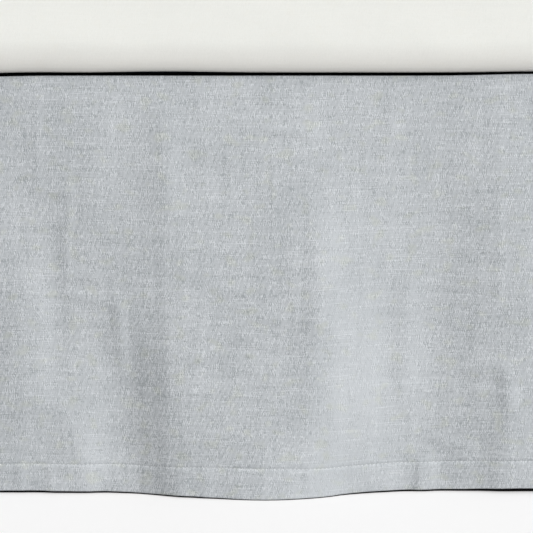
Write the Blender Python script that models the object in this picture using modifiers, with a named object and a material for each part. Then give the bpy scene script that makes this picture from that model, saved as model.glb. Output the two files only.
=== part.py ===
"""Tailored bed skirt with split corners, hung on a queen bed.

The skirt is a deck that lies between mattress and box spring, with one drop sewn to each long side and one
to the foot. Each drop laps over the box spring's edge and falls to just above the floor. The head end stays
open. X runs along the bed from head to foot, Y across it and Z up from the floor. Lengths are in metres.
"""

import math

import bmesh
import bpy
from mathutils import Vector

INCH = 0.0254
CLEARANCE = 0.0003  # between pieces that rest on each other

# Skirt
DROP_LENGTH = 15 * INCH  # from the top of the box spring to the hem
HEM_HEIGHT = 1 * INCH
HEM_ABOVE_FLOOR = 0.0025
CLOTH = 0.0012
HEM_CLOTH = 0.0020  # two layers, turned up on the inside
SEAM_LAP = 0.025  # each drop runs this far in over the box spring before its seam with the deck
EDGE_RADIUS = 0.005  # outer radius of the cloth where it turns down over the edge
HEM_FLARE = 0.004  # the hem hangs this much further out than the edge

# Bed
MATTRESS_SIZE = Vector((80 * INCH, 60 * INCH, 11 * INCH))
MATTRESS_CORNER = 0.075
MATTRESS_EDGE = 0.022
BOX_SPRING_SIZE = Vector((79 * INCH, 59 * INCH, 8 * INCH))
BOX_SPRING_CORNER = 0.030
BOX_SPRING_EDGE = 0.012
FRAME_LENGTH = 1.930
ANGLE_FLANGE = 0.038
ANGLE_THICKNESS = 0.0025
CROSS_RAIL_X = {"head": -0.78, "middle": 0.0, "foot": 0.78}
LEG_RADIUS = 0.0125
LEG_INSET = 0.0275  # from the side rail's outer face to the leg's axis
GLIDE_HEIGHT = 0.020

# The deepest fold at the foot reaches 21.6 mm past the mattress, so the bed stands back by half of that.
BED_SHIFT = -0.0108

BOX_TOP = HEM_ABOVE_FLOOR + DROP_LENGTH
BOX_BOTTOM = BOX_TOP - BOX_SPRING_SIZE.z
DECK_BOTTOM = BOX_TOP + CLEARANCE
DECK_TOP = DECK_BOTTOM + CLOTH
MATTRESS_BOTTOM = DECK_TOP + CLEARANCE
RAIL_TOP = BOX_BOTTOM - CLEARANCE
CROSS_RAIL_TOP = RAIL_TOP - ANGLE_THICKNESS - CLEARANCE
LEG_TOP = CROSS_RAIL_TOP - ANGLE_THICKNESS - CLEARANCE
SIDE_RAIL_FACE = BOX_SPRING_SIZE.y / 2 + 2 * CLEARANCE + ANGLE_THICKNESS
STAND_OFF = 0.0063  # from the box spring's side to a drop's outer face: cloth, rail and 2 mm of air
SIDE_FACE = BOX_SPRING_SIZE.y / 2 + STAND_OFF
FOOT_FACE = BOX_SPRING_SIZE.x / 2 + STAND_OFF

# Fold lines, one row for each crest or valley, in millimetres: its place along the drop at the box spring's
# edge and at the hem, and how far out it stands one fifth down, halfway down and at the hem. All of them
# start from the straight edge. Places count from the drop's middle, to the right as seen from outside.
MM = 0.001
FOLD_COLUMNS = ("at_edge", "at_hem", "upper", "middle", "hem")
FOLD_STATIONS = (0.0, 0.2, 0.5, 1.0)  # shares of the fall: edge, upper, middle and hem
COLUMNS_PER_FOLD = 4
NEAR_FOLDS = (
    (-1003, -1003, 1, 5, 11),
    (-925, -930, 0, 1, 2),
    (-840, -850, 8, 13, 18),
    (-800, -790, 8, 14, 19),
    (-700, -705, 1, 1, 0),
    (-610, -590, 5, 9, 13),
    (-500, -505, 1, 2, 1),
    (-410, -420, 7, 11, 9),
    (-350, -360, 6, 9, 8),
    (-256, -256, 1, 4, 3),
    (-198, -138, 2, 5, 0),
    (-73, -48, 12, 20, 24),
    (25, 19, 13, 22, 25),
    (135, 130, 0, 1, 0),
    (217, 215, 4, 6, 6),
    (305, 300, 0, 1, 1),
    (400, 415, 9, 15, 20),
    (460, 470, 9, 16, 21),
    (570, 560, 1, 0, 2),
    (660, 670, 5, 8, 10),
    (745, 740, 1, 2, 1),
    (840, 850, 7, 12, 16),
    (930, 925, 1, 2, 3),
    (1007, 1007, 1, 4, 10),
)
FAR_FOLDS = (
    (-1007, -1007, 1, 5, 12),
    (-905, -900, 0, 1, 2),
    (-800, -815, 8, 14, 19),
    (-740, -745, 8, 15, 20),
    (-610, -600, 1, 1, 0),
    (-480, -470, 6, 10, 9),
    (-345, -350, 1, 3, 2),
    (-225, -240, 11, 18, 23),
    (-160, -150, 12, 19, 25),
    (-30, -35, 1, 2, 1),
    (95, 110, 5, 7, 11),
    (230, 225, 0, 1, 0),
    (345, 360, 9, 14, 19),
    (490, 485, 1, 1, 2),
    (600, 590, 6, 10, 8),
    (715, 720, 1, 2, 0),
    (830, 845, 7, 12, 17),
    (925, 925, 0, 2, 3),
    (1003, 1003, 1, 4, 9),
)
FOOT_FOLDS = (
    (-753, -753, 1, 5, 12),
    (-665, -670, 0, 1, 2),
    (-560, -550, 7, 12, 17),
    (-440, -445, 1, 2, 0),
    (-330, -320, 5, 8, 10),
    (-215, -220, 1, 2, 2),
    (-90, -105, 10, 17, 22),
    (-30, -20, 11, 18, 24),
    (105, 100, 1, 1, 0),
    (235, 245, 6, 9, 8),
    (350, 345, 0, 1, 1),
    (470, 485, 9, 14, 20),
    (600, 595, 1, 2, 1),
    (680, 680, 3, 5, 6),
    (753, 753, 1, 4, 9),
)


def plain_material(name, colour, roughness, metallic=0.0):
    material = bpy.data.materials.new(name)
    material.use_nodes = True
    shader = material.node_tree.nodes["Principled BSDF"]
    shader.inputs["Base Color"].default_value = (*colour, 1.0)
    shader.inputs["Roughness"].default_value = roughness
    shader.inputs["Metallic"].default_value = metallic
    return material


def add_piece(name, data, material, location=(0, 0, 0), turn=0.0):
    """Links one piece, turned about Z, into the bed's collection and under its empty."""
    piece = bpy.data.objects.new(name, data)
    piece.location = location
    piece.rotation_euler.z = turn
    piece.parent = bed
    piece.data.materials.clear()
    piece.data.materials.append(material)
    collection.objects.link(piece)
    return piece


def rounded_slab(name, size, corner, edge, material, bottom):
    """A box with round upright corners and softer round edges above and below."""
    form = bmesh.new()
    bmesh.ops.create_cube(form, size=1.0)
    bmesh.ops.scale(form, vec=size, verts=form.verts)
    upright = [e for e in form.edges if abs(e.verts[0].co.z - e.verts[1].co.z) > size.z / 2]
    bmesh.ops.bevel(form, geom=upright, offset=corner, segments=6, profile=0.5, affect="EDGES")
    form.normal_update()
    rims = [e for e in form.edges if {abs(face.normal.z) > 0.5 for face in e.link_faces} == {True, False}]
    bmesh.ops.bevel(form, geom=rims, offset=edge, segments=4, profile=0.5, affect="EDGES")
    mesh = bpy.data.meshes.new(name)
    form.to_mesh(mesh)
    form.free()
    mesh.shade_smooth()
    mesh.set_sharp_from_angle(angle=math.radians(35))
    return add_piece(name, mesh, material, (0, 0, bottom + size.z / 2))


def flat_sheet(name, size, material, centre):
    form = bmesh.new()
    bmesh.ops.create_cube(form, size=1.0)
    bmesh.ops.scale(form, vec=size, verts=form.verts)
    mesh = bpy.data.meshes.new(name)
    form.to_mesh(mesh)
    form.free()
    return add_piece(name, mesh, material, centre)


def fold_line(fold_row, fall_share):
    """Where a fold line lies along the drop and how far out it stands, at a share of the fall."""
    fold = dict(zip(FOLD_COLUMNS, fold_row))
    depth = 0.0
    for station, reached in zip(FOLD_STATIONS[1:], (fold["upper"], fold["middle"], fold["hem"])):
        others = [other for other in FOLD_STATIONS if other != station]
        depth += reached * math.prod((fall_share - other) / (station - other) for other in others)
    along = fold["at_edge"] + (fold["at_hem"] - fold["at_edge"]) * fall_share
    return along * MM, max(0.0, depth) * MM + HEM_FLARE * fall_share


def on_the_folds(folds, column, fall_share):
    """Place along the drop and distance out of a column of the grid, swinging smoothly from line to line."""
    index = min(column // COLUMNS_PER_FOLD, len(folds) - 2)
    share = column / COLUMNS_PER_FOLD - index
    (left, left_depth), (right, right_depth) = (fold_line(folds[i], fall_share) for i in (index, index + 1))
    swing = share * share * (3 - 2 * share)
    return left + (right - left) * share, left_depth + (right_depth - left_depth) * swing


def drop_section(bend_steps=3, fall_steps=8):
    """Rows of a drop from seam to hem: distance out from the falling face, height, and 1 on the hem."""
    bend_centre = DECK_TOP - EDGE_RADIUS
    rows = [(-EDGE_RADIUS - SEAM_LAP, DECK_TOP, 0.0)]
    for step in range(bend_steps + 1):
        angle = math.pi / 2 * step / bend_steps
        rows.append((EDGE_RADIUS * (math.sin(angle) - 1), bend_centre + EDGE_RADIUS * math.cos(angle), 0.0))
    hem_top = HEM_ABOVE_FLOOR + HEM_HEIGHT
    for step in range(1, fall_steps + 1):
        rows.append((0.0, bend_centre + (hem_top - bend_centre) * step / fall_steps, 0.0))
    rows.append((0.0, hem_top - CLOTH, 1.0))
    rows.append((0.0, HEM_ABOVE_FLOOR, 1.0))
    return rows


def hanging_drop(name, face, mitred, folds, material, turn):
    """One drop: a grid bent over the edge and pushed out by its folds, with its thickness on the inside.

    face is how far the falling cloth's outer face lies from the bed's middle line, and mitred says at which
    of the drop's two ends the lap is cut at 45 degrees."""
    rows = drop_section()
    columns = COLUMNS_PER_FOLD * (len(folds) - 1)
    form = bmesh.new()
    bmesh.ops.create_grid(form, x_segments=columns, y_segments=len(rows) - 1, size=0.5)
    hem_weights = form.verts.layers.deform.verify()
    for vertex in form.verts:
        out, height, hem_share = rows[round((0.5 - vertex.co.y) * (len(rows) - 1))]
        fall_share = max(0.0, (DECK_TOP - EDGE_RADIUS - height) / (DECK_TOP - EDGE_RADIUS - HEM_ABOVE_FLOOR))
        column = round((vertex.co.x + 0.5) * columns)
        along, depth = on_the_folds(folds, column, fall_share)
        cut_at_end = -out * (mitred[1] if along > 0 else mitred[0])
        half_width = abs(folds[-1 if along > 0 else 0][0]) * MM
        vertex.co = (along * (half_width - cut_at_end) / half_width, -(face + out + depth), height)
        vertex[hem_weights][0] = hem_share
    bmesh.ops.recalc_face_normals(form, faces=form.faces)
    mesh = bpy.data.meshes.new(name)
    form.to_mesh(mesh)
    form.free()
    mesh.shade_smooth()
    piece = add_piece(name, mesh, material, turn=turn)
    piece.vertex_groups.new(name="hem")
    thickness = piece.modifiers.new("cloth", "SOLIDIFY")
    thickness.thickness = HEM_CLOTH
    thickness.offset = -1.0
    thickness.use_even_offset = True
    thickness.vertex_group = "hem"
    thickness.thickness_vertex_group = CLOTH / HEM_CLOTH
    return piece


def make_skirt():
    cloth = plain_material("skirt_linen", (0.46, 0.49, 0.51), 0.95)
    deck_cotton = plain_material("deck_cotton", (0.78, 0.77, 0.73), 0.95)
    inner_side = SIDE_FACE - EDGE_RADIUS - SEAM_LAP - CLEARANCE
    inner_foot = FOOT_FACE - EDGE_RADIUS - SEAM_LAP - CLEARANCE
    head_end = -BOX_SPRING_SIZE.x / 2
    deck_size = Vector((inner_foot - head_end, 2 * inner_side, CLOTH))
    deck_centre = ((inner_foot + head_end) / 2, 0, DECK_BOTTOM + CLOTH / 2)
    flat_sheet("skirt_deck", deck_size, deck_cotton, deck_centre)
    hanging_drop("skirt_drop_near", SIDE_FACE, (0, 1), NEAR_FOLDS, cloth, 0.0)
    hanging_drop("skirt_drop_far", SIDE_FACE, (1, 0), FAR_FOLDS, cloth, math.pi)
    hanging_drop("skirt_drop_foot", FOOT_FACE, (1, 1), FOOT_FOLDS, cloth, math.pi / 2)


def make_mattress():
    sheet = plain_material("sheet_cotton", (0.86, 0.86, 0.83), 0.9)
    rounded_slab("mattress", MATTRESS_SIZE, MATTRESS_CORNER, MATTRESS_EDGE, sheet, MATTRESS_BOTTOM)


def make_box_spring():
    ticking = plain_material("box_spring_ticking", (0.72, 0.71, 0.68), 0.9)
    rounded_slab("box_spring", BOX_SPRING_SIZE, BOX_SPRING_CORNER, BOX_SPRING_EDGE, ticking, BOX_BOTTOM)


def angle_iron(name, length, upright_sign, material, location, turn):
    """A length of angle along X, its flat flange towards +Y. The other flange stands up or hangs down."""
    outline = [
        (0, 0),
        (ANGLE_FLANGE, 0),
        (ANGLE_FLANGE, -ANGLE_THICKNESS),
        (ANGLE_THICKNESS, -ANGLE_THICKNESS),
        (ANGLE_THICKNESS, -ANGLE_FLANGE),
        (0, -ANGLE_FLANGE),
    ]
    if upright_sign > 0:
        outline = [(y, -ANGLE_THICKNESS - z) for y, z in outline]
    curve = bpy.data.curves.new(name, "CURVE")
    curve.dimensions = "2D"
    curve.fill_mode = "BOTH"
    curve.extrude = length / 2
    spline = curve.splines.new("POLY")
    spline.points.add(len(outline) - 1)
    for point, (y, z) in zip(spline.points, outline):
        point.co = (y, z, 0, 1)
    spline.use_cyclic_u = True
    iron = add_piece(name, curve, material, location)
    iron.rotation_euler = (math.pi / 2, 0, math.pi / 2 + turn)
    return iron


def make_bed_frame():
    steel = plain_material("frame_steel", (0.05, 0.05, 0.055), 0.5, 0.6)
    plastic = plain_material("glide_plastic", (0.02, 0.02, 0.02), 0.6)
    for side, sign, turn in (("near", -1, 0.0), ("far", 1, math.pi)):
        place = (0, sign * SIDE_RAIL_FACE, RAIL_TOP)
        angle_iron(f"side_rail_{side}", FRAME_LENGTH, 1, steel, place, turn)
    cross_length = 2 * (SIDE_RAIL_FACE - CLEARANCE)
    leg_reach = SIDE_RAIL_FACE - LEG_INSET
    for end, x in CROSS_RAIL_X.items():
        angle_iron(f"cross_rail_{end}", cross_length, -1, steel, (x, 0, CROSS_RAIL_TOP), -math.pi / 2)
        leg_x = x + ANGLE_THICKNESS + CLEARANCE + LEG_RADIUS
        for side, y in (("near", -leg_reach), ("centre", 0.0), ("far", leg_reach)):
            leg(f"leg_{end}_{side}", (leg_x, y), steel)
            glide(f"glide_{end}_{side}", (leg_x, y), plastic)


def leg(name, place, material, sides=20):
    bottom = GLIDE_HEIGHT + CLEARANCE
    form = bmesh.new()
    bmesh.ops.create_cone(
        form, cap_ends=True, segments=sides, radius1=LEG_RADIUS, radius2=LEG_RADIUS, depth=LEG_TOP - bottom
    )
    mesh = bpy.data.meshes.new(name)
    form.to_mesh(mesh)
    form.free()
    mesh.shade_smooth()
    mesh.set_sharp_from_angle(angle=math.radians(40))
    return add_piece(name, mesh, material, (*place, (LEG_TOP + bottom) / 2))


def glide(name, place, material):
    """A turned foot: a disc on the floor and a neck that carries the leg, its profile from the top down."""
    neck, disc, chamfer = 0.0145, 0.019, 0.002
    profile = [
        (0, GLIDE_HEIGHT),
        (neck, GLIDE_HEIGHT),
        (neck, 0.6 * GLIDE_HEIGHT),
        (disc, 0.4 * GLIDE_HEIGHT),
        (disc, chamfer),
        (disc - chamfer, 0),
        (0, 0),
    ]
    mesh = bpy.data.meshes.new(name)
    edges = [(i, i + 1) for i in range(len(profile) - 1)]
    mesh.from_pydata([(x, 0, z) for x, z in profile], edges, [])
    foot = add_piece(name, mesh, material, (*place, 0))
    turned = foot.modifiers.new("turned", "SCREW")
    turned.steps = turned.render_steps = 20
    turned.use_merge_vertices = True
    turned.merge_threshold = 0.0001
    return foot


for old in list(bpy.data.objects):
    bpy.data.objects.remove(old)
collection = bpy.data.collections.new("bed_skirt")
bpy.context.scene.collection.children.link(collection)
bed = bpy.data.objects.new("bed", None)
bed.location.x = BED_SHIFT
collection.objects.link(bed)
make_mattress()
make_box_spring()
make_bed_frame()
make_skirt()
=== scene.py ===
import random
from functools import partial
from math import cos, pi, prod, radians, sin, sqrt

import bpy
import numpy as np
from mathutils import Matrix, Vector, noise


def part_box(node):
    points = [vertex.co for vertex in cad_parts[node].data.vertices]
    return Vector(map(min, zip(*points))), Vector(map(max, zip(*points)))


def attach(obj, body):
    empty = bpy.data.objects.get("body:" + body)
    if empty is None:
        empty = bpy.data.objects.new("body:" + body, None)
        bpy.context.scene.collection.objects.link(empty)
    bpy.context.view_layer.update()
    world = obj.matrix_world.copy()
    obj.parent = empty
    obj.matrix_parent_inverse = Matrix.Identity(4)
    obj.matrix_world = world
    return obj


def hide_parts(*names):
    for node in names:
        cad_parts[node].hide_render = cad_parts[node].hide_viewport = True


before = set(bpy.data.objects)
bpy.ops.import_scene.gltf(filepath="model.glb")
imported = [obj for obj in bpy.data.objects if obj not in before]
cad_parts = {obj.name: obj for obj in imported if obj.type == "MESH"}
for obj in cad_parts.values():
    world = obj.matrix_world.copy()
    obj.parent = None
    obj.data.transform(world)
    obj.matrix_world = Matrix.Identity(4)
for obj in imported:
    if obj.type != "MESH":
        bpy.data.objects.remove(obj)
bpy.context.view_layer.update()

# ------------
# Bed frame. Two side rails and three cross rails of angle iron with nine tube legs, bolted together and
# dipped in dark bronze paint. The box spring lies in it, and dust settles on every flange that faces up.
BRONZE, BRONZE_WORN, HOUSE_DUST = (0.03, 0.026, 0.023, 1), (0.085, 0.078, 0.07, 1), (0.36, 0.34, 0.31, 1)


def fill(node, inputs):
    """Fills a node's inputs from plain values or from other nodes' outputs."""
    for key, value in inputs.items():
        if isinstance(value, bpy.types.NodeSocket):
            node.id_data.links.new(value, node.inputs[key])
        else:
            node.inputs[key].default_value = value


def wire(tree, kind, inputs=None, **settings):
    """Adds a node, sets its properties and fills its inputs."""
    node = tree.nodes.new(kind)
    for key, value in settings.items():
        setattr(node, key, value)
    fill(node, inputs or {})
    return node


def follow(kind, inputs, output=0, **settings):
    """Adds a node beside those that feed it. Returns its output."""
    tree = next(value.id_data for value in inputs.values() if isinstance(value, bpy.types.NodeSocket))
    return wire(tree, kind, inputs, **settings).outputs[output]


def spaced(values):
    """Keywords have an underscore where sockets' names have a space."""
    return {key.replace("_", " "): value for key, value in values.items()}


def calculate(operation, *values, clamp=False):
    return follow("ShaderNodeMath", dict(enumerate(values)), operation=operation, use_clamp=clamp)


add, times = partial(calculate, "ADD"), partial(calculate, "MULTIPLY")


def blend(share, first, second, blend_type="MIX"):
    share_in, first_in, second_in, result = 0, 6, 7, 2
    inputs = {share_in: share, first_in: first, second_in: second}
    return follow("ShaderNodeMix", inputs, result, data_type="RGBA", blend_type=blend_type, clamp_factor=True)


def spread(value, low, high, to_low=0.0, to_high=1.0):
    inputs = {"Value": value, "From Min": low, "From Max": high, "To Min": to_low, "To Max": to_high}
    return follow("ShaderNodeMapRange", inputs, clamp=True)


def axis_of(vector, axis):
    return follow("ShaderNodeSeparateXYZ", {0: vector}, axis)


def geometry(tree, what, axis):
    """One axis of the surface's Normal or Position."""
    return axis_of(wire(tree, "ShaderNodeNewGeometry").outputs[what], axis)


def effect_group(name, **numbers):
    """Starts a node group that takes a Place and these numbers. Returns its tree and what it is given."""
    tree = bpy.data.node_groups.new(name, "ShaderNodeTree")
    tree.interface.new_socket("Place", in_out="INPUT", socket_type="NodeSocketVector")
    for label, usual in spaced(numbers).items():
        tree.interface.new_socket(label, in_out="INPUT", socket_type="NodeSocketFloat").default_value = usual
    return tree, tree.nodes.new("NodeGroupInput").outputs


def give_out(tree, **values):
    """Ends a node group, which puts out these masks and values."""
    for label in values:
        tree.interface.new_socket(label, in_out="OUTPUT", socket_type="NodeSocketFloat")
    wire(tree, "NodeGroupOutput", values)
    return tree


def use_group(group, **values):
    return wire(values["Place"].id_data, "ShaderNodeGroup", spaced(values), node_tree=group).outputs


def finish_material(name, **sockets):
    """A material whose shader has these uniform values. Returns it, its tree and its shader."""
    material = bpy.data.materials.new(name)
    material.use_nodes = True
    shader = material.node_tree.nodes["Principled BSDF"]
    fill(shader, spaced(sockets))
    return material, material.node_tree, shader


def raise_surface(shader, height, strength, distance):
    inputs = {"Height": height, "Strength": strength, "Distance": distance}
    fill(shader, {"Normal": follow("ShaderNodeBump", inputs)})


def dust_and_wear_group():
    """Dust on faces that look up, scuffs where things rub, and the faint orange peel of a dipped coat."""
    tree, given = effect_group("dust_and_wear", Dust=0.5, Scuffs=0.3)

    def speckles(scale, detail, roughness=0.5):
        inputs = {"Vector": given["Place"], "Scale": scale, "Detail": detail, "Roughness": roughness}
        return follow("ShaderNodeTexNoise", inputs)

    upward = spread(geometry(tree, "Normal", "Z"), 0.3, 0.95)
    drifted = times(upward, spread(speckles(45.0, 6.0), 0.35, 0.7))
    rubbed = spread(speckles(120.0, 8.0, 0.7), 0.6, 0.68)
    dust = times(drifted, given["Dust"], clamp=True)
    scuff = times(rubbed, given["Scuffs"], clamp=True)
    return give_out(tree, Dust=dust, Scuff=scuff, Height=speckles(900.0, 2.0))


dust_and_wear = dust_and_wear_group()


def worn_material(name, clean, worn, dust, scuffs, dulled_by, dulling, bump, **sockets):
    """A coat that is worn where scuffed and has dust on top. One of the two dulls it."""
    material, tree, shader = finish_material(name, **sockets)
    place = wire(tree, "ShaderNodeTexCoord").outputs["Object"]
    surface = use_group(dust_and_wear, Place=place, Dust=dust, Scuffs=scuffs)
    coat = blend(surface["Scuff"], clean, worn)
    dull = spread(surface[dulled_by], 0, *dulling)
    fill(shader, {"Base Color": blend(surface["Dust"], coat, HOUSE_DUST), "Roughness": dull})
    raise_surface(shader, surface["Height"], *bump)
    return material


def dress(start_of_name, material):
    """Gives the solids whose names start so this material alone."""
    for name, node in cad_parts.items():
        if name.startswith(start_of_name):
            node.data.materials.clear()
            node.data.materials.append(material)


bronze_paint = worn_material(
    "bronze_painted_steel", BRONZE, BRONZE_WORN, 0.75, 0.6, "Dust", (0.6, 0.38, 0.95), (0.25, 0.0004),
    Metallic=0.25, Coat_Weight=0.2, Coat_Roughness=0.3,
)
dress(("side_rail", "cross_rail", "leg_"), bronze_paint)

# ------------
# Glides. Nine moulded feet of black polypropylene, pushed onto the tube legs. Their rims are scuffed and
# dusty where they stand on the floor.
glide_black = worn_material(
    "glide_polypropylene", (0.016, 0.016, 0.017, 1), (0.07, 0.068, 0.065, 1), 0.6, 0.8,
    "Scuff", (0.8, 0.5, 0.8), (0.5, 0.0003), Specular_IOR_Level=0.4,
)
dress("glide_", glide_black)

# ------------
# Box spring. A timber and coil base covered in woven off-white ticking, with a folded tape sewn over the
# joint of border and panel all round, above and below, and a grey dust cloth stapled underneath.
INCH = 0.0254
BED_MIDDLE_X = -0.0108
BOX_SIZE, BOX_CORNER, BOX_EDGE = (79 * INCH, 59 * INCH, 8 * INCH), 0.03, 0.012
BOX_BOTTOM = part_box("box_spring")[0].z
TAPE_WIDTH, TAPE_THICKNESS = 0.02, 0.0011
LEAST_CORNER, INNERMOST_RING = 0.0004, 0.001


def outline_ring(size, corner, inset, shares, corner_steps):
    """A rounded rectangle seen from above, anticlockwise from the near side's left end.

    shares are where the points lie along its long and its short sides. Returns the points, their outward
    directions, and each point's run from the near side's left end."""
    half_x, half_y, corner = size[0] / 2 - inset, size[1] / 2 - inset, max(corner - inset, LEAST_CORNER)
    points, outward, run, done = [], [], [], 0.0
    turned = pi / 2 * np.arange(1, corner_steps) / corner_steps
    for side, signs in enumerate(((-1, -1), (1, -1), (1, 1), (-1, 1))):
        ahead = np.array((cos(side * pi / 2), sin(side * pi / 2)))
        out = np.array((ahead[1], -ahead[0]))
        centre = np.array(signs) * (half_x - corner, half_y - corner)
        length = max(2 * ((half_x, half_y)[side % 2] - corner), 0.0)
        along = length * np.array(shares[side % 2])
        directions = np.outer(np.cos(turned), out) + np.outer(np.sin(turned), ahead)
        points.append(centre + out * corner + np.outer(along, ahead))
        points.append(centre + ahead * length + directions * corner)
        outward += [np.tile(out, (len(along), 1)), directions]
        run += [done + along, done + length + corner * turned]
        done += length + corner * pi / 2
    return np.concatenate(points), np.concatenate(outward), np.concatenate(run)


def soft_block(size, corner, edge, inner_rings, side_steps, edge_steps, shares, corner_steps, under=None):
    """The rings of a block with rounded corners and edges, from the middle of its underside to its top.

    under is how far in and how far up the lower edge's rounding reaches, and its power: below 1, it turns
    under more sharply at its foot. Each ring has its points, outward directions, run along it, inset, and
    length down from the top panel."""
    height, middle = size[2], size[1] / 2 - INNERMOST_RING
    reach_in, reach_up, power = under or (edge, edge, 1)
    quarter = [pi / 2 * step / edge_steps for step in range(edge_steps + 1)]
    side = height - edge - reach_up
    profile = [(inset, 0.0) for inset in np.linspace(middle, reach_in, inner_rings, endpoint=False)]
    profile += [(reach_in * (1 - sin(a)) ** power, reach_up * (1 - cos(a))) for a in quarter]
    profile += [(0.0, reach_up + side * step / side_steps) for step in range(1, side_steps)]
    profile += [(edge * (1 - cos(a)), height - edge + edge * sin(a)) for a in quarter]
    panel_start = len(profile) - 1
    profile += [(inset, height) for inset in np.linspace(edge, middle, inner_rings + 1)[1:]]
    profile = np.array(profile)
    length = np.concatenate(([0], np.cumsum(np.hypot(*np.diff(profile, axis=0).T))))
    ahead = np.gradient(profile, length, axis=0)
    tilt = np.column_stack((ahead[:, 1], ahead[:, 0])) / np.hypot(*ahead.T)[:, None]
    rings = []
    for (inset, level), (sideways, upward), down in zip(profile, tilt, length[panel_start] - length):
        points, outward, run = outline_ring(size, corner, inset, shares, corner_steps)
        normals = np.column_stack((outward * sideways, np.full(len(points), upward)))
        solid = np.column_stack((points, np.full(len(points), level)))
        rings.append((solid, normals, run, np.full(len(points), inset), np.full(len(points), down)))
    return [np.array(layer) for layer in zip(*rings)]


def put_in_scene(name, data):
    thing = bpy.data.objects.new(name, data)
    bpy.context.scene.collection.objects.link(thing)
    return thing


def mesh_piece(name, points, faces, materials):
    """A shown piece that rides on the bed, from points in metres."""
    mesh = bpy.data.meshes.new(name)
    mesh.from_pydata(np.asarray(points).tolist(), [], faces)
    for material in materials:
        mesh.materials.append(material)
    mesh.shade_smooth()
    mesh.update()
    piece = put_in_scene(name, mesh)
    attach(piece, "root")
    return piece


def ring_faces(count, around, tube=False):
    """Quads between rings that run anticlockwise, seen from above, and climb.

    The first and last rings are closed flat, or joined to each other to make a tube."""
    faces = []
    for ring in range(count if tube else count - 1):
        low, high = ring * around, (ring + 1) % count * around
        faces += [(low + i, low + (i + 1) % around, high + (i + 1) % around, high + i) for i in range(around)]
    if not tube:
        faces += [tuple(reversed(range(around))), tuple(range((count - 1) * around, count * around))]
    return faces


def lay_cloth_map(piece, across, down, panel=None):
    """Stores where each point lies on the flat cloth, in metres, for the weave to follow.

    panel gives other places for the faces that look up."""
    mesh = piece.data
    of_point, sizes = np.empty(len(mesh.loops), np.int32), np.empty(len(mesh.polygons), np.int32)
    mesh.loops.foreach_get("vertex_index", of_point)
    places = np.column_stack((np.ravel(across), np.ravel(down)))[of_point]
    if panel is not None:
        mesh.polygons.foreach_get("loop_total", sizes)
        looks_up = np.repeat([polygon.normal.z > 0.7 for polygon in mesh.polygons], sizes)
        places = np.where(looks_up[:, None], panel[of_point], places)
    layer = mesh.uv_layers.new(name="cloth_place")
    layer.data.foreach_set("uv", np.ascontiguousarray(places, np.float32).ravel())


def ripple(across, down, size_across, size_down, seed):
    """Smooth noise from -1 to 1 over a cloth, in waves of these sizes in metres."""
    flat = zip((across / size_across).ravel().tolist(), (down / size_down).ravel().tolist())
    values = [noise.noise(Vector((x, y, seed))) for x, y in flat]
    return np.array(values).reshape(across.shape)


def ripples(across, down, *waves):
    """Waves laid over each other, each a height, size across, size down and seed."""
    return sum(height * ripple(across, down, *wave) for height, *wave in waves)


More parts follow.
